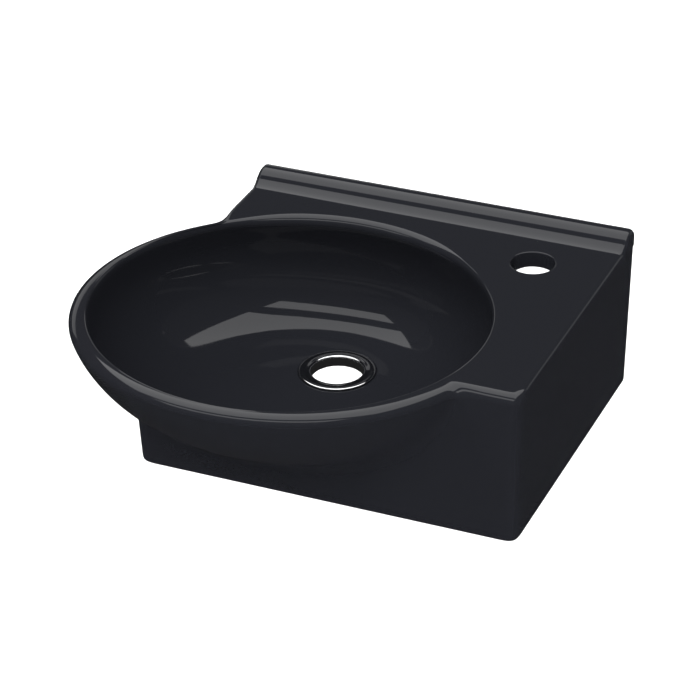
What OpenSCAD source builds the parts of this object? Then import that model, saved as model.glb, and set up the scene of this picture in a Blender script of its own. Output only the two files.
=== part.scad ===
// Compact wall-hung hand basin, one hollow china casting with an oval bowl that overhangs
// its left and front aprons, an open tap hole, a chrome outlet ring and two wall sleeves.
// Millimetres, +Z up, +X to the right, the wall is the plane Y = 0 and the basin is on its -Y side.
// The origin is midway between the two wall fixing holes, on the wall plane.

/* [Body] */
// Width of the body at deck level
body_w = 322; // [265:1:390]
// Depth of the body from the wall to its front at deck level
body_d = 262; // [215:1:320]
// Height of the deck above the bottom edge
deck_h = 131; // [115:1:165]
// Thickness of the deck
deck_t = 13; // [10:0.5:18]
// Thickness of the front and side aprons
apron_t = 11; // [7:0.5:16]
// How far each side leans in over the deck height
side_draft = 4; // [0.5:0.1:8]
// How far the front leans in over the deck height
front_draft = 6.3; // [0.5:0.1:10]
// Radius of the upright corners at the front
corner_r = 9; // [4:0.5:16]
// Radius of the roll along the deck's front edge and round the rim
front_roll_r = 8; // [5:0.5:11]
// Radius of the roll along the deck's two side edges
side_roll_r = 3.5; // [2:0.5:8]

/* [Upstand] */
// Height of the back upstand above the deck
upstand_h = 10.5; // [9:0.1:12]
// Distance from the wall to where the cove meets the deck
upstand_d = 30; // [29:0.5:36]
// Radius of the upstand's front edge
upstand_edge_r = 16.5; // [12:0.5:18]
// Radius of the cove between upstand and deck
upstand_cove_r = 20.5; // [16:0.5:22]
// Radius of the upstand's two upper ends
upstand_end_r = 5.5; // [4:0.5:9]

/* [Bowl] */
// Half the overall width of the rim
rim_rx = 172; // [140:1:205]
// Half the overall depth of the rim
rim_ry = 159; // [130:1:190]
// Deck left between the rim and the right side
deck_right = 36.5; // [30:0.5:60]
// Deck left between the rim and the wall
deck_back = 45; // [40:0.5:70]
// Width of the rolled rim, from outside to the bowl's inner wall
rim_w = 15.5; // [13:0.5:19]
// Height of the bowl floor above the bottom edge
floor_h = 32; // [27:0.5:40]
// Thickness of the bowl below the floor
bowl_t = 9; // [7:0.5:12]
// Radius of the curve from the bowl's inner wall to its floor
bowl_inside_r = 86; // [70:1:92]
// Radius of the curve of the bowl's outside
bowl_outside_r = 108; // [100:1:114]
// How far the floor lies nearer to the wall than the rim does
floor_back = 42; // [20:1:50]
// How far the floor lies left of the rim's middle
floor_left = 7; // [0:1:12]
// Radius of the plan fillets where the rim leaves the body
plan_fillet_r = 28; // [15:1:34]

/* [Tap hole] */
// Diameter of the tap hole
tap_d = 35; // [32:0.5:38]
// Distance of the tap hole from the right side
tap_from_right = 62; // [45:1:75]
// Distance of the tap hole from the wall
tap_from_wall = 64; // [50:1:80]

/* [Outlet] */
// Diameter of the outlet hole in the china
outlet_d = 46; // [44:0.5:48]
// How far the outlet lies behind the middle of the floor
outlet_back = 42; // [30:1:50]
// How far the outlet lies right of the middle of the floor
outlet_right = 9; // [0:1:15]
// Depth of the ring's seat below the floor
seat_depth = 1; // [0.5:0.1:2]
// Thickness of the china under the seat
seat_t = 7; // [5:0.5:9]
// Outer diameter of the chrome ring
ring_d = 62; // [58:0.5:66]
// Diameter of the ring's throat
throat_d = 42; // [38:0.5:43]
// Thickness of the ring's flange
ring_flange_t = 1.4; // [1:0.1:2]
// Radius of the bell mouth at the top of the throat
bell_r = 1.6; // [1:0.1:2]
// Thickness of the seal under the flange
seal_t = 1.2; // [0.8:0.1:2]
// Thickness of the seal round the throat
seal_sleeve_t = 0.9; // [0.5:0.1:1.2]

/* [Wall fixing] */
// Distance of each fixing hole from its side of the body
fix_inset = 41; // [36:1:60]
// Height of the fixing holes above the bottom edge
fix_h = 75; // [55:1:90]
// Diameter of the fixing holes in the china
fix_hole_d = 16; // [14:0.5:18]
// Thickness of the two back lugs
lug_t = 12; // [9:0.5:16]
// Width of lug on each side of its hole
lug_margin = 22; // [18:1:26]
// Bore of the wall sleeves
sleeve_bore_d = 10.4; // [8.4:0.1:12.4]
// Diameter of the sleeve's flange
sleeve_flange_d = 26; // [22:0.5:30]
// Thickness of the sleeve's flange
sleeve_flange_t = 2.5; // [1.5:0.1:4]

/* [Hidden] */
$fn = 96;

cut = 2;                // how far cutters run past the faces that they open
sleeve_gap = 0.2;       // radial clearance of a wall sleeve in its hole
break_step = 0.15;      // keeps the plan fillets from ending on an exact tangent
web_limit = 0.9;        // how square-on a plan fillet may meet the rim

half_w = body_w / 2;
bowl_x = half_w - deck_right - rim_rx;
bowl_y = -(deck_back + rim_ry);
rim_squash = rim_ry / rim_rx;
inner_rx = rim_rx - rim_w;
curve_in = floor_h + bowl_inside_r;
flat_rx = inner_rx - bowl_inside_r;
lean = deck_h - floor_h;
outlet_x = bowl_x - floor_left + outlet_right;
outlet_y = bowl_y + floor_back + outlet_back;
seat_h = floor_h - seat_depth;
ring_top = seat_h + seal_t + ring_flange_t;
ring_sleeve_r = outlet_d / 2 - seal_sleeve_t;
tap_x = half_w - tap_from_right;
fix_x = half_w - fix_inset;
lug_low = fix_h - lug_margin;

// Half the body's width at a height above the bottom edge
function half_at(z) = half_w - side_draft * (1 - z / deck_h);

// Depth of the body at a height above the bottom edge
function depth_at(z) = body_d - front_draft * (1 - z / deck_h);

// Stands a flat outline drawn in X and Z upright, running from Y = -d to Y = 0
module across(d) {
    rotate([90, 0, 0]) linear_extrude(height = d) children();
}

// Stands a flat outline drawn in depth and Z upright, centred on X and w wide
module along(w) {
    translate([w / 2, 0, 0]) rotate([90, 0, -90]) linear_extrude(height = w) children();
}

// One half of a leaning outline: low and high are its half widths at the bottom and at h - r
module leaning_half(low, high, h, r) {
    polygon([[0, 0], [low, 0], [high, h - r], [0, h - r]]);
    square([high - r, h]);
    intersection() {
        translate([high - r, h - r]) circle(r);
        translate([high - r, h - r - 0.01]) square([r, r + 0.01]);
    }
}

// Front view of the body up to height h, its upper corners rounded to r
module front_outline(h, r) {
    leaning_half(half_at(0), half_at(h - r), h, r);
    mirror([1, 0]) leaning_half(half_at(0), half_at(h - r), h, r);
}

// Plan of the body with round front corners
module plan_outline() {
    translate([-half_w, -body_d + corner_r]) square([body_w, body_d - corner_r]);
    translate([-half_w + corner_r, -body_d]) square([body_w - 2 * corner_r, body_d]);
    for (side = [-1, 1]) {
        translate([side * (half_w - corner_r), -body_d + corner_r]) circle(corner_r);
    }
}

// The body as a solid block up to the deck
module block() {
    intersection() {
        across(body_d + cut) front_outline(deck_h, side_roll_r);
        along(body_w + cut) leaning_half(depth_at(0), depth_at(deck_h - front_roll_r), deck_h,
            front_roll_r);
        translate([0, 0, -cut]) linear_extrude(height = deck_h + 2 * cut) plan_outline();
    }
}

// The hollow under the deck, open below and at the wall
module hollow() {
    inner_h = deck_h - deck_t;
    low = half_at(0) - apron_t;
    high = half_at(inner_h) - apron_t;
    low_d = depth_at(0) - apron_t;
    high_d = depth_at(inner_h) - apron_t;
    intersection() {
        translate([0, cut, 0]) across(body_d + 2 * cut) polygon([
            [-low, -cut], [low, -cut], [high, inner_h], [-high, inner_h]
        ]);
        along(body_w) polygon([[-cut, -cut], [low_d, -cut], [high_d, inner_h], [-cut, inner_h]]);
    }
}

// The back upstand: a rounded ridge with a cove down to the deck
module upstand() {
    top = deck_h + upstand_h;
    cove_z = deck_h + upstand_cove_r;
    edge_z = top - upstand_edge_r;
    turn = acos((cove_z - edge_z) / (upstand_cove_r + upstand_edge_r));
    meet_y = upstand_d - upstand_cove_r * sin(turn);
    meet_z = cove_z - upstand_cove_r * cos(turn);
    edge_y = meet_y - upstand_edge_r * sin(turn);
    base = deck_h - deck_t / 2;
    intersection() {
        across(upstand_d + cut) front_outline(top, upstand_end_r);
        along(body_w + cut) difference() {
            union() {
                translate([0, base]) square([edge_y, top - base]);
                intersection() {
                    translate([edge_y, edge_z]) circle(upstand_edge_r);
                    translate([0, base]) square([upstand_d, top - base]);
                }
                polygon([[0, base], [upstand_d, base], [upstand_d, deck_h], [meet_y, meet_z],
                    [edge_y, meet_z], [0, meet_z]]);
            }
            translate([upstand_d, cove_z]) circle(upstand_cove_r);
        }
    }
}

// Moves a round bowl shape to its place, squashes it to an oval and leans it towards the wall
module place_bowl() {
    translate([bowl_x, bowl_y, 0])
        multmatrix([
            [1, 0, floor_left / lean, -floor_left * deck_h / lean],
            [0, 1, -floor_back / lean, floor_back * deck_h / lean],
            [0, 0, 1, 0],
            [0, 0, 0, 1]
        ])
            scale([1, rim_squash, 1]) rotate_extrude() children();
}

// Half section of the bowl's outside
module bowl_outside() {
    low = floor_h - bowl_t;
    mid_z = low + bowl_outside_r;
    roll_z = deck_h - front_roll_r;
    roll_x = rim_rx - front_roll_r;
    turn = asin((mid_z - roll_z) / (bowl_outside_r - front_roll_r));
    mid_x = roll_x - (bowl_outside_r - front_roll_r) * cos(turn);
    meet_z = mid_z - bowl_outside_r * sin(turn);
    translate([0, low]) square([mid_x, deck_h - low]);
    intersection() {
        translate([mid_x, mid_z]) circle(bowl_outside_r);
        translate([mid_x, low]) square([bowl_outside_r, meet_z - low]);
    }
    translate([0, meet_z]) square([roll_x, deck_h - meet_z]);
    translate([roll_x, roll_z]) circle(front_roll_r);
}

// Half section of the bowl's inside, with the round inner edge of the rim
module bowl_inside() {
    edge_r = rim_w / 2;
    difference() {
        union() {
            translate([0, floor_h]) square([flat_rx, deck_h]);
            intersection() {
                translate([flat_rx, curve_in]) circle(bowl_inside_r);
                translate([0, floor_h]) square([inner_rx + cut, bowl_inside_r]);
            }
            translate([0, curve_in]) square([inner_rx, deck_h]);
            translate([0, deck_h - edge_r + 0.5]) square([inner_rx + edge_r, deck_h]);
        }
        translate([inner_rx + edge_r, deck_h - edge_r + 0.5]) circle(edge_r);
    }
}

// Fills the inner corner at the origin, between two edges that a circle at [cx, cy] just touches.
// The web is rolled like the rim, and reaches to from and to past the touching points.
module fillet_web(centre, from, inner, to) {
    cut_r = plan_fillet_r + break_step;
    web_t = front_roll_r + cut;
    difference() {
        translate([0, 0, deck_h - web_t]) linear_extrude(height = web_t)
            polygon([centre, from, inner, to]);
        translate([centre[0], centre[1], 0]) rotate_extrude() difference() {
            square([cut_r + front_roll_r, deck_h + cut]);
            translate([cut_r, -cut]) square([front_roll_r + cut, deck_h - front_roll_r + cut]);
            translate([cut_r + front_roll_r, deck_h - front_roll_r]) circle(front_roll_r);
        }
    }
}

// The two webs that carry the rim's outline into the front edge and into the left edge
module plan_fillets() {
    wide_x = rim_rx + plan_fillet_r;
    wide_y = rim_ry + plan_fillet_r;
    front_y = -body_d - plan_fillet_r;
    front_share = pow((front_y - bowl_y) / wide_y, 2);
    front_x = bowl_x + wide_x * sqrt(max(0, 1 - front_share));
    left_x = -half_w - plan_fillet_r;
    left_share = pow((left_x - bowl_x) / wide_x, 2);
    left_y = bowl_y + wide_y * sqrt(max(0, 1 - left_share));
    // Points on the rim's middle line, straight in from where each circle touches the rim
    front_in = [bowl_x + (front_x - bowl_x) * (rim_rx - rim_w) / wide_x,
        bowl_y + (front_y - bowl_y) * (rim_ry - rim_w) / wide_y];
    left_in = [bowl_x + (left_x - bowl_x) * (rim_rx - rim_w) / wide_x,
        bowl_y + (left_y - bowl_y) * (rim_ry - rim_w) / wide_y];
    // A side that the rim does not clearly overhang has no web
    if (front_share < web_limit) {
        fillet_web([front_x, front_y], [front_x, -body_d + deck_t],
            [front_in[0], -body_d + deck_t], front_in);
    }
    if (left_share < web_limit) {
        fillet_web([left_x, left_y], left_in, [-half_w + deck_t, left_in[1]],
            [-half_w + deck_t, left_y]);
    }
}

// The two back lugs that the wall fixings pass through
module lugs() {
    lug_w = fix_inset + lug_margin - apron_t / 2 - side_draft;
    for (side = [-1, 1]) {
        translate([side * (half_w - side_draft - apron_t / 2 - lug_w / 2), -lug_t / 2,
            (lug_low + deck_h - deck_t / 2) / 2])
            cube([lug_w, lug_t, deck_h - deck_t / 2 - lug_low], center = true);
    }
}

module basin_body() {
    color([0.13, 0.13, 0.15]) translate([0, 0, -fix_h]) difference() {
        union() {
            difference() {
                block();
                hollow();
            }
            upstand();
            lugs();
            plan_fillets();
            place_bowl() bowl_outside();
            translate([outlet_x, outlet_y, seat_h - seat_t]) cylinder(h = seat_t, d = ring_d + 10);
        }
        place_bowl() bowl_inside();
        translate([outlet_x, outlet_y, seat_h]) cylinder(h = deck_h / 3, d = ring_d + 1);
        translate([outlet_x, outlet_y, -cut]) cylinder(h = deck_h / 2, d = outlet_d);
        translate([tap_x, -tap_from_wall, deck_h / 2]) cylinder(h = deck_h, d = tap_d);
        for (side = [-1, 1]) {
            translate([side * fix_x, cut, fix_h])
                rotate([90, 0, 0]) cylinder(h = lug_t + 2 * cut, d = fix_hole_d);
        }
    }
}

module drain_ring() {
    color([0.8, 0.8, 0.82]) translate([outlet_x, outlet_y, -fix_h]) rotate_extrude()
        difference() {
            union() {
                translate([throat_d / 2, seat_h - seat_t])
                    square([ring_sleeve_r - throat_d / 2, ring_top - seat_h + seat_t]);
                translate([throat_d / 2, ring_top - ring_flange_t])
                    square([ring_d / 2 - throat_d / 2 - ring_flange_t / 2, ring_flange_t]);
                translate([ring_d / 2 - ring_flange_t / 2, ring_top - ring_flange_t / 2])
                    circle(ring_flange_t / 2);
            }
            difference() {
                translate([throat_d / 2 - cut, ring_top - bell_r]) square([bell_r + cut, bell_r + cut]);
                translate([throat_d / 2 + bell_r, ring_top - bell_r]) circle(bell_r);
            }
        }
}

module drain_seal() {
    color([0.1, 0.1, 0.1]) translate([outlet_x, outlet_y, -fix_h]) rotate_extrude()
        union() {
            translate([ring_sleeve_r, seat_h - seat_t]) square([seal_sleeve_t, seat_t + seal_t]);
            translate([ring_sleeve_r, seat_h]) square([ring_d / 2 - 1 - ring_sleeve_r, seal_t]);
        }
}

// A flanged sleeve pushed into a lug from inside, its end flush with the wall
module fixing_sleeve(side) {
    color([0.9, 0.9, 0.88]) translate([side * fix_x, 0, 0]) rotate([90, 0, 0]) difference() {
        union() {
            cylinder(h = lug_t + sleeve_flange_t, d = fix_hole_d - 2 * sleeve_gap);
            translate([0, 0, lug_t]) cylinder(h = sleeve_flange_t, d = sleeve_flange_d);
        }
        translate([0, 0, -cut]) cylinder(h = lug_t + sleeve_flange_t + 2 * cut, d = sleeve_bore_d);
    }
}

module fixing_sleeve_left() {
    fixing_sleeve(-1);
}

module fixing_sleeve_right() {
    fixing_sleeve(1);
}

basin_body();
drain_ring();
drain_seal();
fixing_sleeve_left();
fixing_sleeve_right();
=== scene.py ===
import math

import bpy
import numpy as np
from mathutils import Matrix, Vector


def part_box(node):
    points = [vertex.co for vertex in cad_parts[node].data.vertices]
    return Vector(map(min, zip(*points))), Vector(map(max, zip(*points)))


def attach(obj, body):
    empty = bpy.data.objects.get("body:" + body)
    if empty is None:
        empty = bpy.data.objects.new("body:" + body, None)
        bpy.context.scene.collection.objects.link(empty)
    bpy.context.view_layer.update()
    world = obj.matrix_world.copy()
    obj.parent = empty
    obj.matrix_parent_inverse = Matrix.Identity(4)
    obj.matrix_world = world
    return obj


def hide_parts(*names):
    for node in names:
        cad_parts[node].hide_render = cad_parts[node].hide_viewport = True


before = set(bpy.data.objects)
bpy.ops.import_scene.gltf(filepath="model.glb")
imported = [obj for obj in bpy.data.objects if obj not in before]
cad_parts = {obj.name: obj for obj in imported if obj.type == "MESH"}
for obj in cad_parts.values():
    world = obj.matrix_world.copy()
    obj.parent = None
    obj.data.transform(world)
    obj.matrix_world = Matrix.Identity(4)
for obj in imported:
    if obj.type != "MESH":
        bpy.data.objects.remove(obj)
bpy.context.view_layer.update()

bl_info = {
    "name": "Wall-hung Hand Basin",
    "version": (1, 0, 0),
    "blender": (4, 5, 0),
    "location": "View3D > Sidebar > Hand Basin",
    "description": "Black china hand basin with an oval bowl, chrome outlet ring and wall sleeves",
    "category": "Object",
}

RING_LOW, RING_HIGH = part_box("drain_ring")
OUTLET = ((RING_LOW.x + RING_HIGH.x) / 2, (RING_LOW.y + RING_HIGH.y) / 2)
RING_RADIUS = (RING_HIGH.x - RING_LOW.x) / 2
BODY_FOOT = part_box("basin_body")[0].z

# Small fixed sizes of the china, in metres
OPENING_ROUNDER = 1.0204    # the opening's depth to width, against the rim's
OUTSIDE_SPARE = 0.0003      # lets the bowl's outside curve run up into the rim
FAN_SHIFT = 0.014           # the columns fan out from a point this much nearer to the wall
BACK_CORNER_R = 0.0015      # upright corners at the wall
HOLLOW_CORNER_R = 0.004     # upright corners inside the hollow
BACK_ROLL = 0.002           # roll along the wall edge
SIDE_BAND = 0.004           # a column this close to a side's plane lies on that side
RIM_FADE = 0.022            # distance over which the rim's roll fades into the body's
RIM_FLAT = 0.0006           # level strip left between the rim's two rolls
RIM_DROP = 0.0013           # how much deeper the outer roll is on the rim
INNER_DROP = 0.0072         # depth of the opening's rounded edge
INNER_DROP_BACK = 0.0022    # extra depth at the back of the rim
SEAT_GAP = 0.0006           # clearance round the ring's flange
SEAT_DEPTH = 0.001          # how far the ring's flange is let into the floor
OUTLET_HOLE = 0.023         # radius of the china's outlet hole
UPSTAND_END_R = 0.0046      # roll at the upstand's two ends
UPSTAND_BACK_R = 0.0016     # roll along the upstand's back edge
UPSTAND_SINK = 0.009        # how far the upstand's solid runs down into the deck
LUG_INNER_X = 0.098         # inner side of each back lug, from the middle
LUG_BELOW = 0.022           # how far each lug reaches below its fixing
CUT_SPARE = 0.00005         # keeps a cutter's faces off the faces that it meets

# Ring flange, from its under edge over the outer roll: how far in from the edge, how far below the top
FLANGE = (
    (0.0012, 0.0014), (0.0004, 0.0013), (0.0001, 0.0010), (0.0, 0.0006), (0.0003, 0.0002), (0.0010, 0.0),
    (0.0020, 0.00005), (0.0034, 0.00035), (0.0052, 0.00045), (0.0068, 0.00025), (0.0080, 0.0001),
)
THROAT_R = 0.021            # bore of the ring's throat
SLEEVE_R = 0.0221           # outside of the ring's throat
BELL_R = 0.0019             # bell mouth between flange and throat

# Label, place, point aimed at, size and power of each lamp
LAMPS = (
    ("overhead", (-0.55, 0.825, 3.0), (-0.55, 0.825, 0), (4.9, 3.35), 119.0),
    ("front", (-0.55, -2.375, 3.0), (-0.55, -2.375, 0), (4.9, 1.25), 45.0),
    ("back_right", (2.0, 3.0, 1.2), (0, -0.2, 0), (1.6, 1.4), 3.0),
    ("back_left", (-2.6, 3.6, 1.3), (-0.1, -0.2, 0.05), (6.0, 1.2), 14.0),
)
# Label, direction towards the light, and strength of each soft sun
SUNS = (
    ("fill", (0.23, -0.6, 0.77), 2.9),
    ("fill_left", (-0.65, -0.25, 0.71), 1.5),
    ("fill_right", (0.5, -0.2, 0.84), 0.9),
)
# Direction heights between which a strength rises, then the two strengths
ROOM = (-0.15, 0.35, 0.016, 0.035)
SKY = (0.35, 0.9, 0.3, 0.85)
WHITE_STRENGTH = 1.12


# ---------------------------------------------------------------------------
# Sizes and finishes
# ---------------------------------------------------------------------------

def length(name, description, default):
    return bpy.props.FloatProperty(name=name, description=description, default=default, unit="LENGTH")


def degrees(name, description, default):
    return bpy.props.FloatProperty(name=name, description=description, default=math.radians(default),
                                   subtype="ANGLE")


def share_of(name, description, default):
    return bpy.props.FloatProperty(name=name, description=description, default=default, min=0.0, max=1.0)


def colour(name, description, default):
    return bpy.props.FloatVectorProperty(name=name, description=description, default=default,
                                         subtype="COLOR")


class BasinSizes(bpy.types.PropertyGroup):
    """Sizes of the china body, in metres"""
    body_w: length("Body width", "Width of the body at deck level", 0.322)
    body_d: length("Body depth", "Depth of the body at deck level", 0.262)
    deck_h: length("Deck height", "Height of the deck above the bottom edge", 0.131)
    deck_t: length("Deck thickness", "Thickness of the deck", 0.013)
    apron_t: length("Apron thickness", "Thickness of the front and side aprons", 0.011)
    lug_t: length("Lug thickness", "Thickness of the two back lugs", 0.012)
    side_draft: length("Side draft", "How far each side leans in over the deck height", 0.004)
    front_draft: length("Front draft", "How far the front leans in over the deck height", 0.0063)
    corner_r: length("Corner radius", "Radius of the upright front corners", 0.009)
    front_roll: length("Front roll", "Depth of the roll along the front edge and round the rim", 0.0076)
    front_reach: length("Front roll reach", "How far the front roll reaches in over the deck", 0.0094)
    side_roll: length("Side roll", "Radius of the roll along the deck's side edges", 0.0036)
    rim_rx: length("Rim half width", "Half the overall width of the rim", 0.172)
    rim_ry: length("Rim half depth", "Half the overall depth of the rim", 0.159)
    rim_w: length("Rim width", "Width of the rolled rim", 0.0155)
    deck_right: length("Deck right", "Deck left between the rim and the right side", 0.0365)
    deck_back: length("Deck back", "Deck left between the rim and the wall", 0.045)
    floor_h: length("Floor height", "Height of the bowl floor above the bottom edge", 0.032)
    bowl_t: length("Bowl thickness", "Thickness of the bowl below the floor", 0.009)
    inside_r: length("Inside curve", "Radius of the curve from the inner wall to the floor", 0.086)
    outside_r: length("Outside curve", "Radius of the curve of the bowl's outside", 0.108)
    floor_back: length("Floor back", "How far the floor lies nearer to the wall than the rim", 0.042)
    floor_left: length("Floor left", "How far the floor lies left of the rim's middle", 0.007)
    blend: length("Body blend", "Width of the soft blend where the bowl grows out of the body", 0.009)
    foot_r: length("Foot radius", "Radius of the bottom edge", 0.003)
    opening_back: length("Opening back", "How far the opening lies nearer to the wall than its rim", 0.003)
    opening_left: length("Opening left", "How far the opening lies left of its rim", 0.0012)
    crown: length("Crown", "Fall of the rim's top towards its outer roll", 0.0001)
    upstand_h: length("Upstand height", "Height of the back upstand above the deck", 0.0105)
    upstand_d: length("Upstand depth", "Distance from the wall to where the cove meets the deck", 0.030)
    upstand_edge: length("Upstand edge", "Radius of the upstand's front edge", 0.0165)
    upstand_cove: length("Upstand cove", "Radius of the cove between upstand and deck", 0.0205)
    tap_r: length("Tap hole radius", "Radius of the tap hole", 0.0175)
    tap_x: length("Tap hole from middle", "Distance of the tap hole right of the middle", 0.099)
    tap_y: length("Tap hole from wall", "Distance of the tap hole from the wall", 0.064)
    tap_edge: length("Tap hole edge", "Radius of the tap hole's upper edge", 0.0011)
    fix_x: length("Fixing from middle", "Distance of each wall fixing from the middle", 0.12)
    fix_h: length("Fixing height", "Height of the wall fixings above the bottom edge", 0.075)
    fix_r: length("Fixing hole radius", "Radius of the fixing holes in the china", 0.008)
    columns: bpy.props.IntProperty(name="Columns", description="Number of columns of faces round the bowl",
                                   default=208, min=64, max=320)


class BasinFinish(bpy.types.PropertyGroup):
    """Colours and gloss of the finishes"""
    glaze_colour: colour("Glaze colour", "Colour of the black glaze", (0.0115, 0.0121, 0.0150))
    glaze_rough: share_of("Glaze roughness", "Roughness of the black glaze", 0.05)
    glaze_specular: share_of("Glaze specular", "Strength of the glaze's reflection", 0.35)
    chrome_colour: colour("Chrome colour", "Colour of the chrome plate", (0.80, 0.80, 0.81))
    rubber_colour: colour("Rubber colour", "Colour of the seal", (0.016, 0.016, 0.017))
    nylon_colour: colour("Nylon colour", "Colour of the wall sleeves", (0.78, 0.77, 0.73))


class StageSettings(bpy.types.PropertyGroup):
    """Camera, floor and lights"""
    azimuth: degrees("Azimuth", "Camera's turn to the right of the front", 23.64)
    elevation: degrees("Elevation", "Camera's height above the horizon", 30.28)
    roll: degrees("Roll", "Camera's turn about its own axis", -1.10)
    distance: length("Distance", "Camera's distance from its target", 2.2128)
    target: bpy.props.FloatVectorProperty(name="Target", description="Point that the camera looks at",
                                           subtype="XYZ", default=(0.001, -0.1999, 0.0299))
    lens: bpy.props.FloatProperty(name="Lens", description="Focal length of the camera in millimetres",
                                  default=149.47)
    floor_drop: length("Floor drop", "How far the floor lies below the basin", 0.8)


# ---------------------------------------------------------------------------
# Small helpers
# ---------------------------------------------------------------------------

def clear_selection():
    """Leaves nothing selected, and no object in edit mode"""
    if bpy.context.object and bpy.context.object.mode != "OBJECT":
        bpy.ops.object.mode_set(mode="OBJECT")
    bpy.ops.object.select_all(action="DESELECT")


def make_active(piece):
    clear_selection()
    piece.select_set(True)
    bpy.context.view_layer.objects.active = piece


def settle(piece, name):
    """Puts the piece's place and turn into its mesh, and names it"""
    make_active(piece)
    bpy.ops.object.transform_apply(location=True, rotation=True, scale=True)
    piece.name = name
    piece.data.name = name
    return piece


def face_outwards(piece):
    make_active(piece)
    bpy.ops.object.mode_set(mode="EDIT")
    bpy.ops.mesh.select_all(action="SELECT")
    bpy.ops.mesh.normals_make_consistent(inside=False)
    bpy.ops.object.mode_set(mode="OBJECT")


def apply_modifier(piece, name):
    make_active(piece)
    bpy.ops.object.modifier_apply(modifier=name)


def smooth(piece, degrees):
    make_active(piece)
    bpy.ops.object.shade_smooth_by_angle(angle=math.radians(degrees))


def bridge_ends(mesh, ends, layer):
    """Joins the first ring of a skinned tube to the last. ends marks the two rings' points"""
    bpy.ops.object.mode_set(mode="EDIT")
    bpy.ops.mesh.select_all(action="DESELECT")
    bpy.ops.object.mode_set(mode="OBJECT")
    for edge in mesh.edges:
        a, b = edge.vertices
        edge.select = bool(ends[a] and ends[b] and layer[a] == layer[b])
    bpy.ops.object.mode_set(mode="EDIT")
    bpy.ops.mesh.select_mode(type="EDGE")
    bpy.ops.mesh.bridge_edge_loops()
    bpy.ops.object.mode_set(mode="OBJECT")


def loft(name, rings, closed=True):
    """Skins a stack of rings: a circle is added for the first ring, and extruded once for each other.
    Each ring is an array of points with the same count. closed joins the last ring to the first."""
    count = len(rings[0])
    lift = 0.01
    clear_selection()
    bpy.ops.mesh.primitive_circle_add(vertices=count, radius=0.1, location=(0, 0, 0))
    piece = bpy.context.object
    mesh = piece.data
    bpy.ops.object.mode_set(mode="EDIT")
    bpy.ops.mesh.select_mode(type="EDGE")
    bpy.ops.mesh.select_all(action="SELECT")
    for _ in rings[1:]:
        bpy.ops.mesh.extrude_region_move(TRANSFORM_OT_translate={"value": (0, 0, lift)})
    bpy.ops.object.mode_set(mode="OBJECT")
    points = np.zeros((len(mesh.vertices), 3))
    start = np.array([v.co for v in mesh.vertices], float)
    layer = np.rint(start[:, 2] / lift).astype(int)
    turn = np.rint(np.arctan2(start[:, 1], start[:, 0]) / (2 * math.pi) * count).astype(int) % count
    for k in range(len(mesh.vertices)):
        points[k] = rings[layer[k]][turn[k]]
    mesh.vertices.foreach_set("co", points.astype(np.float32).ravel())
    mesh.update()
    if closed:
        bridge_ends(mesh, (layer == 0) | (layer == len(rings) - 1), layer)
    piece.name = name
    return piece


def cap_ends(piece):
    """Closes both open ends of a skinned tube with a face"""
    make_active(piece)
    bpy.ops.object.mode_set(mode="EDIT")
    bpy.ops.mesh.select_mode(type="EDGE")
    bpy.ops.mesh.select_all(action="DESELECT")
    bpy.ops.mesh.select_non_manifold(extend=False, use_wire=False, use_boundary=True,
                                     use_multi_face=False, use_non_contiguous=False, use_verts=False)
    bpy.ops.mesh.edge_face_add()
    bpy.ops.object.mode_set(mode="OBJECT")


def lathe(name, section, centre, steps, closed=True):
    """Turns a section of (radius, height) points about an upright line through centre"""
    angles = np.arange(steps) * 2 * math.pi / steps
    rings = [np.stack([centre[0] + r * np.cos(angles), centre[1] + r * np.sin(angles),
                       np.full(steps, z)], axis=1) for r, z in section]
    return loft(name, rings, closed)


# ---------------------------------------------------------------------------
# Shape of the china
# ---------------------------------------------------------------------------

def ease(share):
    """Turns an even rise from 0 to 1 into one that starts and ends gently"""
    return share * share * (3 - 2 * share)


def quadratic_bend(first, pull, last, t):
    """Point at share t of a bend from first to last, drawn towards pull"""
    return first * (1 - t) ** 2 + pull * 2 * t * (1 - t) + last * t * t


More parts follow.
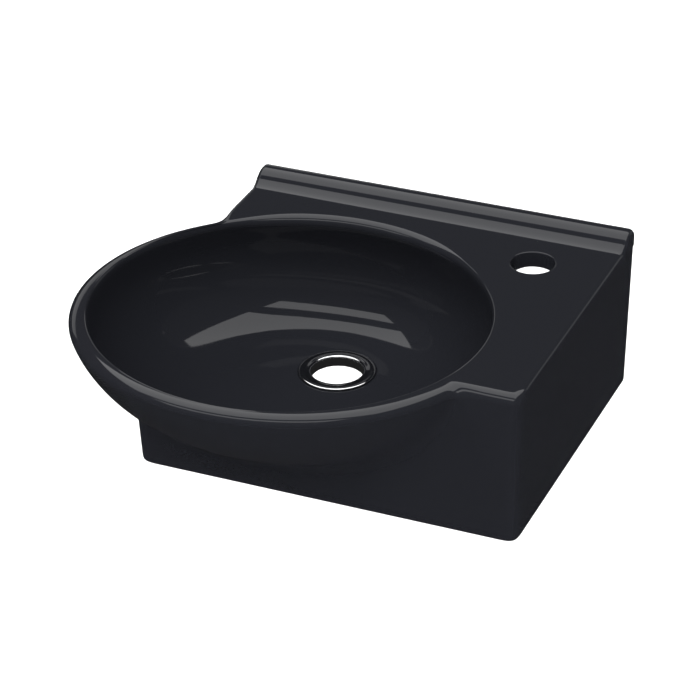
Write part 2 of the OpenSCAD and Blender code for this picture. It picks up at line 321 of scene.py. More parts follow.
class China:
    """Surfaces of the china body, in metres, with heights above the bottom edge.
    A ring is a closed row of points, one for each column. The columns fan out from centre."""

    def __init__(self, s):
        self.s = s
        self.half_w = s.body_w / 2
        self.bowl_x = self.half_w - s.deck_right - s.rim_rx
        self.bowl_y = -(s.deck_back + s.rim_ry)
        self.squash = s.rim_ry / s.rim_rx
        self.inner_squash = self.squash * OPENING_ROUNDER
        self.lean = s.deck_h - s.floor_h
        self.inner_rx = s.rim_rx - s.rim_w - s.opening_left
        self.curve_in = s.floor_h + s.inside_r
        self.flat_rx = self.inner_rx - s.inside_r
        self.low = s.floor_h - s.bowl_t
        self.mid_z = self.low + s.outside_r
        self.mid_x = s.rim_rx - s.outside_r + OUTSIDE_SPARE
        self.centre = np.array([self.bowl_x, self.bowl_y + FAN_SHIFT])
        self.outlet = np.array(OUTLET)
        self.toward = self.directions()

    def bowl_centre(self, h):
        """Middle of the leaning bowl at a height"""
        return (self.bowl_x + self.s.floor_left * (h - self.s.deck_h) / self.lean,
                self.bowl_y + self.s.floor_back * (self.s.deck_h - h) / self.lean)

    def opening_centre(self, h):
        """Middle of the bowl's inner wall at a height"""
        cx, cy = self.bowl_centre(h)
        return cx - self.s.opening_left, cy + self.s.opening_back

    def outside_radius(self, h):
        drop = np.clip(self.mid_z - h, 0, self.s.outside_r)
        curve = self.mid_x + np.sqrt(np.maximum(self.s.outside_r ** 2 - drop ** 2, 0))
        return np.minimum(curve, self.s.rim_rx)

    def inside_radius(self, h):
        drop = np.clip(self.curve_in - h, 0, self.s.inside_r)
        return self.flat_rx + np.sqrt(np.maximum(self.s.inside_r ** 2 - drop ** 2, 0))

    def from_box(self, x, y, half, front, back, corner, back_corner):
        """Distance from an upright box with rounded corners, negative inside it"""
        middle = -(front + back) / 2
        deep = (front - back) / 2
        r = np.where(y < middle, corner, back_corner)
        qx = np.abs(x) - half + r
        qy = np.abs(y - middle) - deep + r
        return (np.minimum(np.maximum(qx, qy), 0)
                + np.hypot(np.maximum(qx, 0), np.maximum(qy, 0)) - r)

    def from_body(self, x, y, h):
        s = self.s
        return self.from_box(x, y, self.half_w - s.side_draft * (1 - h / s.deck_h),
                             s.body_d - s.front_draft * (1 - h / s.deck_h), 0, s.corner_r, BACK_CORNER_R)

    def from_hollow(self, x, y, h):
        s = self.s
        return self.from_box(x, y, self.half_w - s.side_draft * (1 - h / s.deck_h) - s.apron_t,
                             s.body_d - s.front_draft * (1 - h / s.deck_h) - s.apron_t,
                             s.lug_t, HOLLOW_CORNER_R, HOLLOW_CORNER_R)

    def from_bowl(self, x, y, h):
        cx, cy = self.bowl_centre(h)
        qx, qy = x - cx, (y - cy) / self.squash
        q = np.maximum(np.hypot(qx, qy), 1e-6)
        return (q - self.outside_radius(h)) / np.hypot(qx / q, qy / (q * self.squash))

    def from_outside(self, x, y, h):
        """Distance from body and bowl together, blended where they meet"""
        a, b = self.from_body(x, y, h), self.from_bowl(x, y, h)
        k = self.s.blend
        near = np.maximum(k - np.abs(a - b), 0) / k
        return np.minimum(a, b) - near * near * k / 4

    def reach(self, distance, toward, h, inset):
        """How far from centre, along the directions toward, a distance function reaches -inset"""
        low = np.full(len(toward), 0.001)
        high = np.full(len(toward), 0.42)
        for _ in range(44):
            mid = (low + high) / 2
            x, y = self.centre[0] + mid * toward[:, 0], self.centre[1] + mid * toward[:, 1]
            inside = distance(x, y, h) < -inset
            low = np.where(inside, mid, low)
            high = np.where(inside, high, mid)
        return (low + high) / 2

    def along(self, toward, start, r, h):
        """Ring at distance r from start, in the directions toward, at height h"""
        h = np.broadcast_to(np.asarray(h, float), (len(toward),))
        return np.stack([start[0] + r * toward[:, 0], start[1] + r * toward[:, 1], h], axis=1)

    def ring_at(self, distance, toward, h, inset):
        """Ring on the surface that lies inset inside a distance function"""
        return self.along(toward, self.centre, self.reach(distance, toward, h, inset), h)

    def outside_ring(self, h, inset=0.0):
        return self.ring_at(self.from_outside, self.toward, h, inset)

    def hollow_ring(self, h, inset=0.0):
        return self.ring_at(self.from_hollow, self.toward, h, inset)

    def oval(self, cx, cy, rx, ry, h, start):
        """Ring where the columns, fanned out from start, meet an oval"""
        px, py = (start[0] - cx) / rx, (start[1] - cy) / ry
        dx, dy = self.toward[:, 0] / rx, self.toward[:, 1] / ry
        a, b, c = dx * dx + dy * dy, px * dx + py * dy, px * px + py * py - 1
        r = (-b + np.sqrt(np.maximum(b * b - a * c, 0))) / a
        return self.along(self.toward, start, r, h)

    def bowl_ring(self, h, start):
        """Ring on the bowl's outside at a height"""
        cx, cy = self.bowl_centre(h)
        r = self.outside_radius(h)
        return self.oval(cx, cy, r, r * self.squash, h, start)

    def circle(self, r, h):
        """Ring round the outlet's middle"""
        return self.along(self.toward, self.outlet, r, h)

    def directions(self):
        """One direction for each column, closer together round the corners"""
        s = self.s
        fine = 6000
        spacing = 0.0062
        sharpest = 0.16
        turns = np.linspace(0, 2 * math.pi, fine + 1)
        toward = np.stack([np.cos(turns[:-1]), np.sin(turns[:-1])], axis=1)
        ring = self.ring_at(self.from_outside, toward, s.deck_h - s.front_roll, 0.0)[:, :2]
        step = np.roll(ring, -1, axis=0) - ring
        stride = np.hypot(step[:, 0], step[:, 1])
        heading = np.unwrap(np.arctan2(step[:, 1], step[:, 0]))
        bend = np.abs(np.diff(heading, append=heading[0] + 2 * math.pi))
        weight = stride / spacing + bend / sharpest
        kernel = np.hanning(61)
        kernel /= kernel.sum()
        lap = 60
        around = np.concatenate([weight[-lap:], weight, weight[:lap]])
        weight = np.convolve(around, kernel, "same")[lap:-lap]
        total = np.concatenate([[0], np.cumsum(weight)])
        pick = np.interp(np.arange(s.columns) * total[-1] / s.columns, total, turns)
        return np.stack([np.cos(pick), np.sin(pick)], axis=1)

    def roll_of(self, ring):
        """Depth of the top roll at each column: small along the two sides and the wall, large elsewhere"""
        s = self.s
        x, y = ring[:, 0], ring[:, 1]
        off_side = self.half_w - np.abs(x)
        straight = np.clip((SIDE_BAND - off_side) / 0.003, 0, 1) * (x > -self.half_w - SIDE_BAND)
        front = np.clip((y + s.body_d - 0.006) / 0.010, 0, 1)
        left = np.where(x < 0, np.clip((y + 0.088) / 0.022, 0, 1), 1.0)
        back = np.clip((y + 0.004) / 0.003, 0, 1)
        roll = s.front_roll + (s.side_roll - s.front_roll) * ease(straight * front * left)
        return roll + (BACK_ROLL - roll) * back

    def inside_height(self, x, y):
        """Height of the bowl's inner surface below a point near its floor"""
        low = np.full(len(x), self.s.floor_h)
        high = np.full(len(x), self.s.floor_h + 0.06)
        for _ in range(40):
            mid = (low + high) / 2
            cx, cy = self.opening_centre(mid)
            out = np.hypot(x - cx, (y - cy) / self.inner_squash) > self.inside_radius(mid)
            low = np.where(out, mid, low)
            high = np.where(out, high, mid)
        return (low + high) / 2

    def top_roll(self, edge, on_rim, wide):
        """Outer roll, from the deck over to the outside. It is an oval quarter: wider than it is deep
        along the front, and widest on the rim. wide is the width of the rim's inner roll"""
        s = self.s
        roll = self.roll_of(edge)
        ample = np.clip((roll - s.side_roll) / (s.front_roll - s.side_roll), 0, 1)
        reach = roll + (s.front_reach - s.front_roll) * ample
        reach = reach + (np.maximum(s.rim_w - wide - RIM_FLAT, reach) - reach) * on_rim * ample
        drop = roll + RIM_DROP * on_rim * ample
        fall = s.crown * on_rim
        made = []
        for a in np.radians([0, 14, 28, 42, 56, 70, 82, 90]):
            h = s.deck_h - fall - (drop - fall) * (1 - math.cos(a))
            made.append(self.outside_ring(h, reach * (1 - math.sin(a))))
        return made

    def inner_roll(self, wide, behind):
        """Rounded edge of the opening, from the deck over into the bowl"""
        made = []
        for a in np.radians([0, 16, 32, 48, 64, 79, 90]):
            h = self.s.deck_h - (INNER_DROP + INNER_DROP_BACK * behind) * (1 - math.cos(a))
            cx, cy = self.opening_centre(h)
            rx = self.inner_rx + wide * (1 - math.sin(a))
            ry = self.inner_rx * self.inner_squash + wide * (1 - math.sin(a))
            made.append(self.oval(cx, cy, rx, ry, h, self.centre))
        return made

    def bowl_wall(self):
        """Inner wall of the bowl, down to its floor. The fan's middle moves towards the outlet"""
        steps = 14
        made = []
        for k in range(steps):
            b = math.radians(6 * k)
            h = self.curve_in - self.s.inside_r * math.sin(b)
            cx, cy = self.opening_centre(h)
            r = self.flat_rx + self.s.inside_r * math.cos(b)
            start = self.centre + (self.outlet - self.centre) * 0.75 * ((k + 1) / steps) ** 2
            made.append(self.oval(cx, cy, r, r * self.inner_squash, h, start))
        return made

    def bowl_floor(self, wall_end):
        """Floor in to the outlet, and the rounded edge of the ring's seat"""
        seat = RING_RADIUS + SEAT_GAP
        lip = self.circle(seat + 0.0022, self.s.floor_h)
        made = []
        for t in (0.22, 0.45, 0.68, 0.87, 1.0):
            ring = wall_end * (1 - t) + lip * t
            ring[:, 2] = self.inside_height(ring[:, 0], ring[:, 1])
            made.append(ring)
        top = made[-1][:, 2]
        for out, drop in ((0.0008, 0.0), (0.0002, 0.00015), (0.0, 0.0006)):
            made.append(self.circle(seat + out, top - drop))
        return made

    def outlet_bore(self):
        """The ring's seat and the outlet hole, down to the bowl's underside"""
        seat = RING_RADIUS + SEAT_GAP
        seat_h = self.s.floor_h - SEAT_DEPTH
        hole = OUTLET_HOLE
        section = [(seat, seat_h + 0.0002), (seat - 0.0004, seat_h), (seat - 0.004, seat_h),
                   (hole + 0.0012, seat_h), (hole + 0.0002, seat_h - 0.0002), (hole, seat_h - 0.0012),
                   (hole, self.low + 0.002), (hole + 0.0003, self.low + 0.0005),
                   (hole + 0.0015, self.low), (hole + 0.008, self.low)]
        return [self.circle(r, h) for r, h in section]

    def meeting_height(self):
        """Height at which the bowl's outside comes close to the hollow's side, or else the deck"""
        toward = self.toward
        under_h = self.s.deck_h - self.s.deck_t
        low = np.full(len(toward), self.low + 0.001)
        high = np.full(len(toward), under_h)
        for _ in range(40):
            mid = (low + high) / 2
            cx, cy = self.bowl_centre(mid)
            px, py = self.centre[0] - cx, (self.centre[1] - cy) / self.squash
            dx, dy = toward[:, 0], toward[:, 1] / self.squash
            a, b = dx * dx + dy * dy, px * dx + py * dy
            c = px * px + py * py - self.outside_radius(mid) ** 2
            r = (-b + np.sqrt(np.maximum(b * b - a * c, 0))) / a
            x, y = self.centre[0] + r * toward[:, 0], self.centre[1] + r * toward[:, 1]
            inside = self.from_hollow(x, y, mid) < -0.003
            low = np.where(inside, mid, low)
            high = np.where(inside, high, mid)
        return np.minimum((low + high) / 2, under_h - 0.007)

    def bowl_under(self, meet):
        """Underside of the bowl, from the outlet up to where it meets the deck or an apron"""
        rows = 10
        made = []
        for k in range(1, rows + 1):
            t = (k / rows) ** 1.8
            start = self.outlet + (self.centre - self.outlet) * t
            made.append(self.bowl_ring(self.low + (meet - self.low) * t, start))
        return made

    def deck_under(self, meet, ends, side_drop):
        """Across the underside of the deck, and round into the apron"""
        under_h = self.s.deck_h - self.s.deck_t
        full = np.clip((meet - (under_h - 0.012)) / 0.005, 0, 1)
        ceiling = meet + 0.003 + (under_h - meet - 0.003) * full
        at_bowl = self.bowl_ring(ceiling, self.centre)
        at_side = self.hollow_ring(ceiling)
        bowl_out = np.hypot(*(at_bowl[:, :2] - self.centre).T)
        side_out = np.hypot(*(at_side[:, :2] - self.centre).T)
        at_bowl[bowl_out > side_out] = at_side[bowl_out > side_out]
        side = self.hollow_ring(ceiling - side_drop)
        gap = np.hypot(*(at_side - at_bowl)[:, :2].T)[:, None]
        middle = (at_bowl + at_side) / 2
        pull = 0.5 * np.exp(-gap / 0.01)
        middle = middle * (1 - pull) + (ends + side) / 2 * pull
        made = [quadratic_bend(ends, at_bowl, middle, t) for t in (0.3, 0.6, 0.85)]
        made.append(middle)
        made += [quadratic_bend(middle, at_side, side, t) for t in (0.25, 0.55, 0.8)]
        made.append(side)
        return made

    def apron(self, side_h, top_h):
        """Down the apron's inside, round the bottom edge, and up the outside to the top roll"""
        foot = self.s.foot_r
        made = [self.hollow_ring(side_h + (foot - side_h) * t) for t in (0.25, 0.5, 0.75, 1.0)]
        for a in np.radians([30, 60, 90]):
            made.append(self.hollow_ring(foot * (1 - math.sin(a)), -foot * (1 - math.cos(a))))
        for a in np.radians([90, 60, 30, 0]):
            made.append(self.outside_ring(foot * (1 - math.sin(a)), foot * (1 - math.cos(a))))
        made += [self.outside_ring(foot + (top_h - foot) * t) for t in np.linspace(0, 1, 21)[1:-1]]
        return made

    def rings(self):
        """All rings of the body: outlet bore, underside, aprons, outside, rim and deck, bowl and floor"""
        s = self.s
        side_drop = 0.008
        edge = self.outside_ring(s.deck_h - s.front_roll)
        angle = np.arctan2(edge[:, 1] - self.bowl_y, edge[:, 0] - self.bowl_x)
        off_rim = self.from_bowl(edge[:, 0], edge[:, 1], edge[:, 2])
        on_rim = ease(np.clip(1 - off_rim / RIM_FADE, 0, 1))
        behind = ease(np.clip((np.sin(angle) - 0.70) / 0.25, 0, 1))
        wide = 0.0026 + 0.0040 * np.clip(np.sin(angle), 0, 1) ** 1.5 + 0.0058 * behind
        rolled = self.top_roll(edge, on_rim, wide)
        inner = self.inner_roll(wide, behind)
        deck = [rolled[0] * (1 - t) + inner[0] * t for t in (0.15, 0.4, 0.7, 0.9)]
        wall = self.bowl_wall()
        meet = self.meeting_height()
        under = self.bowl_under(meet)
        bend = self.deck_under(meet, under[-1], side_drop)
        apron = self.apron(bend[-1][:, 2], rolled[-1][:, 2])
        made = (self.outlet_bore() + under + bend + apron + rolled[::-1] + deck + inner + wall[1:]
                + self.bowl_floor(wall[-1]))
        shift = np.array([0, 0, -s.fix_h])
        return [ring + shift for ring in made]


def upstand_section(s):
    """Front-to-back section of the upstand as (distance from the wall, height)"""
    steps = 12
    r = UPSTAND_BACK_R
    top = s.deck_h + s.upstand_h
    dip = 0.00004
    cove_z = s.deck_h + s.upstand_cove - dip
    edge_z = top - s.upstand_edge
    turn = math.acos((cove_z - edge_z) / (s.upstand_cove + s.upstand_edge))
    edge_y = s.upstand_d - (s.upstand_cove + s.upstand_edge) * math.sin(turn)
    base = s.deck_h - UPSTAND_SINK
    points = [(0.0, base), (0.0, (base + top) / 2)]
    for a in np.radians([0, 30, 60, 90]):
        points.append((r * (1 - math.cos(a)), top - r * (1 - math.sin(a))))
    points.append((edge_y * 0.55, top))
    for k in range(steps + 1):
        a = turn * k / steps
        points.append((edge_y + s.upstand_edge * math.sin(a), edge_z + s.upstand_edge * math.cos(a)))
    for k in range(1, steps + 1):
        a = turn * (1 - k / steps)
        points.append((s.upstand_d - s.upstand_cove * math.sin(a), cove_z - s.upstand_cove * math.cos(a)))
    points += [(s.upstand_d, s.deck_h - 0.004), (s.upstand_d - 0.004, base)]
    return points


def make_upstand(s):
    """The back ridge with its cove, run from side to side, its ends rounded like the deck's side edges"""
    section = upstand_section(s)
    r = UPSTAND_END_R
    fade = 0.004
    proud = 0.00002
    widest = s.body_w / 2 + 0.0001
    insets = [r * (1 - math.sin(a)) for a in np.radians([90, 75, 60, 45, 30, 15, 0])]
    made = []
    for side, order in ((-1, insets), (1, insets[::-1])):
        for inset in order:
            fall = r - math.sqrt(max(r * r - (r - inset) ** 2, 0)) if inset < r else 0.0
            ring = []
            for y, h in section:
                half = s.body_w / 2 - s.side_draft * (1 - h / s.deck_h) + proud
                half = min(half, widest)
                weight = min(max((h - (s.deck_h - fade)) / fade, 0), 1)
                ring.append((side * (half - inset), -y, h - fall * weight))
            made.append(np.array(ring))
    shift = np.array([0, 0, -s.fix_h])
    piece = loft("upstand", [ring + shift for ring in made], closed=False)
    cap_ends(piece)
    face_outwards(piece)
    return piece


def tap_cutter(s):
    """Cutting tool for the tap hole, widening over the hole's rounded upper edge"""
    e = s.tap_edge
    top = s.deck_h - s.fix_h
    section = [(s.tap_r, top - 0.03), (s.tap_r, top - e - 0.004)]
    for a in np.radians([0, 15, 30, 45, 60, 75, 88]):
        section.append((s.tap_r + e * (1 - math.cos(a)), top - e + e * math.sin(a)))
    section.append((s.tap_r + e, top + 0.01))
    tool = lathe("tap_cutter", section, (s.tap_x, -s.tap_y), 72, closed=False)
    cap_ends(tool)
    return tool


def fixing_cutter(s, side):
    clear_selection()
    bpy.ops.mesh.primitive_cylinder_add(vertices=64, radius=s.fix_r, depth=0.03,
                                        location=(side * s.fix_x, -s.lug_t / 2, 0),
                                        rotation=(math.pi / 2, 0, 0))
    return settle(bpy.context.object, "fixing_cutter")


def back_cutter(s):
    """Cutting tool for the opening towards the wall, which leaves the two lugs"""
    top = s.deck_h - s.deck_t + CUT_SPARE
    lug_low = s.fix_h - LUG_BELOW
    below = -0.01
    corners = []
    for h in (below, lug_low):
        corners.append((s.body_w / 2 - s.side_draft * (1 - h / s.deck_h) - s.apron_t + CUT_SPARE, h))
    corners += [(LUG_INNER_X, lug_low), (LUG_INNER_X, top)]
    outline = corners + [(-x, h) for x, h in reversed(corners)]
    ends = [np.array([(x, y, h - s.fix_h) for x, h in outline]) for y in (-s.lug_t - 0.0015, 0.006)]
    tool = loft("back_cutter", ends, closed=False)
    cap_ends(tool)
    return tool


def make_cutters(s):
    """Tap hole, fixing holes and the opening towards the wall, as one cutting tool"""
    pieces = [tap_cutter(s), fixing_cutter(s, -1), fixing_cutter(s, 1), back_cutter(s)]
    for piece in pieces:
        face_outwards(piece)
    clear_selection()
    for piece in pieces:
        piece.select_set(True)
    bpy.context.view_layer.objects.active = pieces[0]
    bpy.ops.object.join()
    return pieces[0]


def soften(piece):
    """One round of subdivision, applied"""
    step = piece.modifiers.new("Soften", "SUBSURF")
    step.levels = step.render_levels = 1
    apply_modifier(piece, step.name)


def cut_with(piece, tool, operation):
    step = piece.modifiers.new("Cut", "BOOLEAN")
    step.operation = operation
    step.solver = "EXACT"
    step.object = tool
    apply_modifier(piece, step.name)
    make_active(tool)
    bpy.ops.object.delete()


# ---------------------------------------------------------------------------
# Finishes
# ---------------------------------------------------------------------------

def new_group(name, inputs, outputs):
    group = bpy.data.node_groups.new(name, "ShaderNodeTree")
    for label, kind, value in inputs:
        socket = group.interface.new_socket(label, in_out="INPUT", socket_type=kind)
        if value is not None:
            socket.default_value = value
    for label, kind in outputs:
        group.interface.new_socket(label, in_out="OUTPUT", socket_type=kind)
    return group, group.nodes.new("NodeGroupInput"), group.nodes.new("NodeGroupOutput")


def surface_wear():
    """Shared effect: a slow wave and a fine grain over the surface, for gloss and height"""
    if "surface_wear" in bpy.data.node_groups:
        return bpy.data.node_groups["surface_wear"]
    group, given, out = new_group(
        "surface_wear",
        [("Wave Scale", "NodeSocketFloat", 30.0), ("Grain Scale", "NodeSocketFloat", 900.0),
         ("Rough Low", "NodeSocketFloat", 0.05), ("Rough High", "NodeSocketFloat", 0.1)],
        [("Roughness", "NodeSocketFloat"), ("Wave", "NodeSocketFloat"), ("Grain", "NodeSocketFloat")])
    links = group.links
    place = group.nodes.new("ShaderNodeTexCoord")
    wave = group.nodes.new("ShaderNodeTexNoise")
    wave.inputs["Detail"].default_value = 1.0
    grain = group.nodes.new("ShaderNodeTexNoise")
    grain.inputs["Detail"].default_value = 3.0
    links.new(place.outputs["Object"], wave.inputs["Vector"])
    links.new(place.outputs["Object"], grain.inputs["Vector"])
    links.new(given.outputs["Wave Scale"], wave.inputs["Scale"])
    links.new(given.outputs["Grain Scale"], grain.inputs["Scale"])
    spread = group.nodes.new("ShaderNodeMapRange")
    spread.inputs["From Min"].default_value = 0.3
    spread.inputs["From Max"].default_value = 0.7
    links.new(wave.outputs["Fac"], spread.inputs["Value"])
    links.new(given.outputs["Rough Low"], spread.inputs["To Min"])
    links.new(given.outputs["Rough High"], spread.inputs["To Max"])
    links.new(spread.outputs["Result"], out.inputs["Roughness"])
    links.new(wave.outputs["Fac"], out.inputs["Wave"])
    links.new(grain.outputs["Fac"], out.inputs["Grain"])
    return group


def finish_of(name, colour, metallic=0.0, specular=0.5, wave=30.0, grain=900.0, low=0.05, high=0.1,
              height=0.00002, grain_height=0.0, tint=0.9):
    """A material whose gloss, tone and height vary over the surface"""
    material = bpy.data.materials.new(name)
    material.use_nodes = True
    nodes, links = material.node_tree.nodes, material.node_tree.links
    shader = nodes["Principled BSDF"]
    shader.inputs["Metallic"].default_value = metallic
    shader.inputs["Specular IOR Level"].default_value = specular
    wear = nodes.new("ShaderNodeGroup")
    wear.node_tree = surface_wear()
    wear.inputs["Wave Scale"].default_value = wave
    wear.inputs["Grain Scale"].default_value = grain
    wear.inputs["Rough Low"].default_value = low
    wear.inputs["Rough High"].default_value = high
    links.new(wear.outputs["Roughness"], shader.inputs["Roughness"])
    tone = nodes.new("ShaderNodeMix")
    tone.data_type = "RGBA"
    tone.inputs["A"].default_value = (colour[0] * tint, colour[1] * tint, colour[2] * tint, 1)
    tone.inputs["B"].default_value = (*colour, 1)
    links.new(wear.outputs["Grain"], tone.inputs["Factor"])
    links.new(tone.outputs["Result"], shader.inputs["Base Color"])
    bump = nodes.new("ShaderNodeBump")
    bump.inputs["Strength"].default_value = 1.0
    bump.inputs["Distance"].default_value = height
    links.new(wear.outputs["Wave"], bump.inputs["Height"])
    if grain_height:
        fine = nodes.new("ShaderNodeBump")
        fine.inputs["Strength"].default_value = 1.0
        fine.inputs["Distance"].default_value = grain_height
        links.new(wear.outputs["Grain"], fine.inputs["Height"])
        links.new(bump.outputs["Normal"], fine.inputs["Normal"])
        bump = fine
    links.new(bump.outputs["Normal"], shader.inputs["Normal"])
    return material


def put_on(piece, material):
    piece.data.materials.clear()
    piece.data.materials.append(material)


def black_glaze():
    f = bpy.context.scene.basin_finish
    return finish_of("black_glaze", tuple(f.glaze_colour), specular=f.glaze_specular, wave=26.0, grain=700.0,
                     low=f.glaze_rough * 0.8, high=f.glaze_rough * 1.25, height=0.00012)


# ---------------------------------------------------------------------------
# Pieces
# ---------------------------------------------------------------------------

class BASIN_OT_china_body(bpy.types.Operator):
    """Models the glazed china body: bowl, rim, deck, aprons, upstand, lugs and holes"""
    bl_idname = "basin.china_body"
    bl_label = "China Body"

    def execute(self, context):
        s = context.scene.basin_sizes
        body = loft("china_body", China(s).rings())
        face_outwards(body)
        soften(body)
        cut_with(body, make_upstand(s), "UNION")
        cut_with(body, make_cutters(s), "DIFFERENCE")
        settle(body, "china_body")
        smooth(body, 32)
        put_on(body, black_glaze())
        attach(body, "root")
        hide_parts("basin_body")
        return {"FINISHED"}


class BASIN_OT_outlet_ring(bpy.types.Operator):
    """Turns the chrome outlet ring with its rolled flange and bell mouth"""
    bl_idname = "basin.outlet_ring"
    bl_label = "Outlet Ring"

    def execute(self, context):
        low, top = RING_LOW.z, RING_HIGH.z
        half_way = (low + top) / 2
        section = [(SLEEVE_R, low + 0.0003), (SLEEVE_R, half_way), (SLEEVE_R, top - 0.0018),
                   (SLEEVE_R + 0.0004, top - 0.0014)]
        section += [(RING_RADIUS - inward, top - below) for inward, below in FLANGE]
        for a in np.radians([8, 24, 40, 56, 72, 86]):
            section.append((THROAT_R + BELL_R - BELL_R * math.sin(a),
                            top - 0.0001 - BELL_R + BELL_R * math.cos(a)))
        section += [(THROAT_R, top - 0.0030), (THROAT_R, half_way), (THROAT_R, low + 0.0003),
                    (THROAT_R + 0.0003, low), (SLEEVE_R - 0.0003, low)]
        ring = lathe("outlet_ring", section, OUTLET, 96)
        face_outwards(ring)
        soften(ring)
        settle(ring, "outlet_ring")
        smooth(ring, 50)
        f = context.scene.basin_finish
        put_on(ring, finish_of("chrome", tuple(f.chrome_colour), metallic=1.0, wave=120.0, grain=2500.0,
                               low=0.05, high=0.09, height=0.00003, tint=0.97))
        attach(ring, "root")
        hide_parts("drain_ring")
        return {"FINISHED"}


class BASIN_OT_outlet_seal(bpy.types.Operator):
    """Gives the rubber seal under the ring its finish"""
    bl_idname = "basin.outlet_seal"
    bl_label = "Outlet Seal"

    def execute(self, context):
        f = context.scene.basin_finish
        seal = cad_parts["drain_seal"]
        put_on(seal, finish_of("black_rubber", tuple(f.rubber_colour), specular=0.3, wave=200.0, grain=4000.0,
                               low=0.5, high=0.7, height=0.00001, grain_height=0.00002, tint=0.7))
        return {"FINISHED"}


class BASIN_OT_wall_sleeves(bpy.types.Operator):
    """Gives the two flanged wall sleeves their finish"""
    bl_idname = "basin.wall_sleeves"
    bl_label = "Wall Sleeves"

    def execute(self, context):
        f = context.scene.basin_finish
        nylon = finish_of("white_nylon", tuple(f.nylon_colour), specular=0.4, wave=160.0, grain=3000.0,
                          low=0.38, high=0.5, height=0.00001, grain_height=0.00001, tint=0.93)
        for node in ("fixing_sleeve_left", "fixing_sleeve_right"):
            put_on(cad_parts[node], nylon)
        return {"FINISHED"}


# ---------------------------------------------------------------------------
# Stage
# ---------------------------------------------------------------------------

def area_light(name, place, aim, size, power):
    """A lamp that shows only in highlights"""
    data = bpy.data.lights.new(name, "AREA")
    data.shape = "RECTANGLE"
    data.size, data.size_y = size
    data.energy = power
    lamp = bpy.data.objects.new(name, data)
    bpy.context.scene.collection.objects.link(lamp)
    lamp.location = place
    lamp.rotation_euler = (Vector(aim) - Vector(place)).to_track_quat("-Z", "Y").to_euler()
    lamp.visible_camera = False
    lamp.visible_diffuse = False


def soft_sun(name, toward, strength):
    """An even, soft light with no mirror image of its own"""
    data = bpy.data.lights.new(name, "SUN")
    data.energy = strength
    data.angle = 0.6
    lamp = bpy.data.objects.new(name, data)
    bpy.context.scene.collection.objects.link(lamp)
    lamp.rotation_euler = Vector(toward).to_track_quat("Z", "Y").to_euler()
    lamp.visible_glossy = False


def height_ramp(nodes, links, split, start, end, low, high):
    """Strength that rises with the direction's height"""
    level = nodes.new("ShaderNodeMapRange")
    level.inputs["From Min"].default_value = start
    level.inputs["From Max"].default_value = end
    level.inputs["To Min"].default_value = low
    level.inputs["To Max"].default_value = high
    links.new(split.outputs["Z"], level.inputs["Value"])
    return level.outputs["Result"]


def build_surroundings():
    """White behind everything, a soft light from above, and a dim room for the reflections"""
    world = bpy.data.worlds.new("surroundings")
    world.use_nodes = True
    nodes, links = world.node_tree.nodes, world.node_tree.links
    place = nodes.new("ShaderNodeTexCoord")
    split = nodes.new("ShaderNodeSeparateXYZ")
    links.new(place.outputs["Generated"], split.inputs["Vector"])
    room = nodes["Background"]
    sky = nodes.new("ShaderNodeBackground")
    white = nodes.new("ShaderNodeBackground")
    for shade in (room, sky, white):
        shade.inputs["Color"].default_value = (1, 1, 1, 1)
    links.new(height_ramp(nodes, links, split, *ROOM), room.inputs["Strength"])
    links.new(height_ramp(nodes, links, split, *SKY), sky.inputs["Strength"])
    white.inputs["Strength"].default_value = WHITE_STRENGTH
    ray = nodes.new("ShaderNodeLightPath")
    soft = nodes.new("ShaderNodeMixShader")
    pick = nodes.new("ShaderNodeMixShader")
    links.new(ray.outputs["Is Camera Ray"], soft.inputs["Fac"])
    links.new(sky.outputs["Background"], soft.inputs[1])
    links.new(white.outputs["Background"], soft.inputs[2])
    links.new(ray.outputs["Is Glossy Ray"], pick.inputs["Fac"])
    links.new(soft.outputs["Shader"], pick.inputs[1])
    links.new(room.outputs["Background"], pick.inputs[2])
    links.new(pick.outputs["Shader"], nodes["World Output"].inputs["Surface"])
    return world


def set_camera(scene, g):
    """Camera turned about its target by azimuth, elevation and roll"""
    a, e, r = g.azimuth, g.elevation, g.roll
    back = Vector((math.sin(a) * math.cos(e), -math.cos(a) * math.cos(e), math.sin(e)))
    right = Vector((math.cos(a), math.sin(a), 0))
    up = back.cross(right)
    right, up = right * math.cos(r) + up * math.sin(r), -right * math.sin(r) + up * math.cos(r)
    data = bpy.data.cameras.new("camera")
    data.lens = g.lens
    data.sensor_width = 36.0
    data.clip_end = 50.0
    camera = bpy.data.objects.new("camera", data)
    scene.collection.objects.link(camera)
    turn = Matrix((right, up, back)).transposed().to_4x4()
    camera.matrix_world = Matrix.Translation(Vector(g.target) + back * g.distance) @ turn
    scene.camera = camera


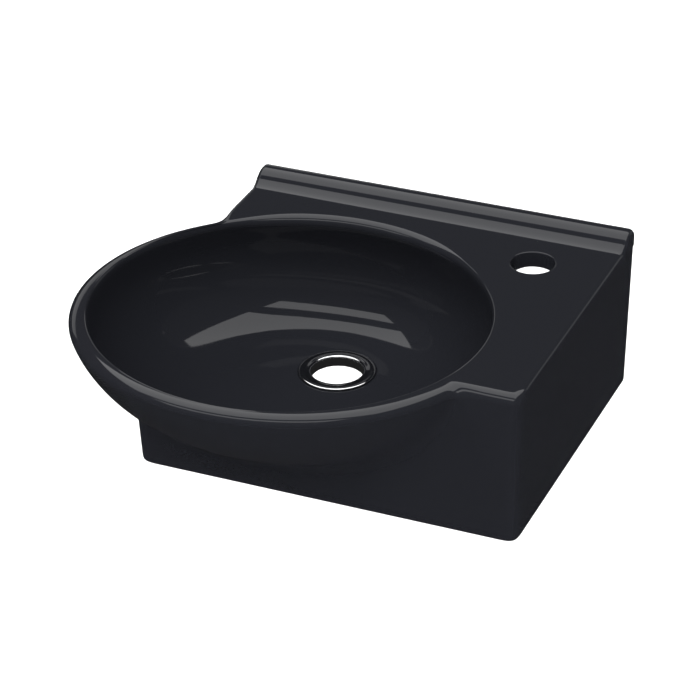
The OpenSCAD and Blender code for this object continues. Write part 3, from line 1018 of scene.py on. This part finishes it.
class BASIN_OT_stage(bpy.types.Operator):
    """Sets the camera, the pale floor, the soft lights and the surroundings"""
    bl_idname = "basin.stage"
    bl_label = "Stage"

    def execute(self, context):
        scene = context.scene
        g = scene.basin_stage
        scene.view_settings.view_transform = "Standard"
        set_camera(scene, g)
        clear_selection()
        bpy.ops.mesh.primitive_grid_add(x_subdivisions=4, y_subdivisions=4, size=30.0,
                                        location=(0, 0, BODY_FOOT - g.floor_drop))
        floor = settle(context.object, "floor")
        floor.visible_glossy = False
        put_on(floor, finish_of("pale_floor", (0.93, 0.93, 0.93), specular=0.0, wave=2.0, grain=60.0,
                                low=0.9, high=1.0, height=0.0, tint=0.995))
        scene.world = build_surroundings()
        for lamp in LAMPS:
            area_light(*lamp)
        for sun in SUNS:
            soft_sun(*sun)
        return {"FINISHED"}


class BASIN_PT_panel(bpy.types.Panel):
    """Lists the pieces of the basin"""
    bl_idname = "BASIN_PT_panel"
    bl_label = "Hand Basin"
    bl_space_type = "VIEW_3D"
    bl_region_type = "UI"
    bl_category = "Hand Basin"

    def draw(self, context):
        for kind in STEPS:
            self.layout.operator(kind.bl_idname)


GROUPS = (("basin_sizes", BasinSizes), ("basin_finish", BasinFinish), ("basin_stage", StageSettings))
STEPS = (BASIN_OT_stage, BASIN_OT_china_body, BASIN_OT_outlet_ring, BASIN_OT_outlet_seal,
         BASIN_OT_wall_sleeves)


def register():
    for name, kind in GROUPS:
        bpy.utils.register_class(kind)
        setattr(bpy.types.Scene, name, bpy.props.PointerProperty(type=kind))
    for kind in STEPS:
        bpy.utils.register_class(kind)
    bpy.utils.register_class(BASIN_PT_panel)


def unregister():
    bpy.utils.unregister_class(BASIN_PT_panel)
    for kind in reversed(STEPS):
        bpy.utils.unregister_class(kind)
    for name, kind in reversed(GROUPS):
        delattr(bpy.types.Scene, name)
        bpy.utils.unregister_class(kind)


def main():
    register()
    bpy.ops.basin.stage()
    bpy.ops.basin.china_body()
    bpy.ops.basin.outlet_ring()
    bpy.ops.basin.outlet_seal()
    bpy.ops.basin.wall_sleeves()
    bpy.context.view_layer.update()


if __name__ == "__main__":
    main()
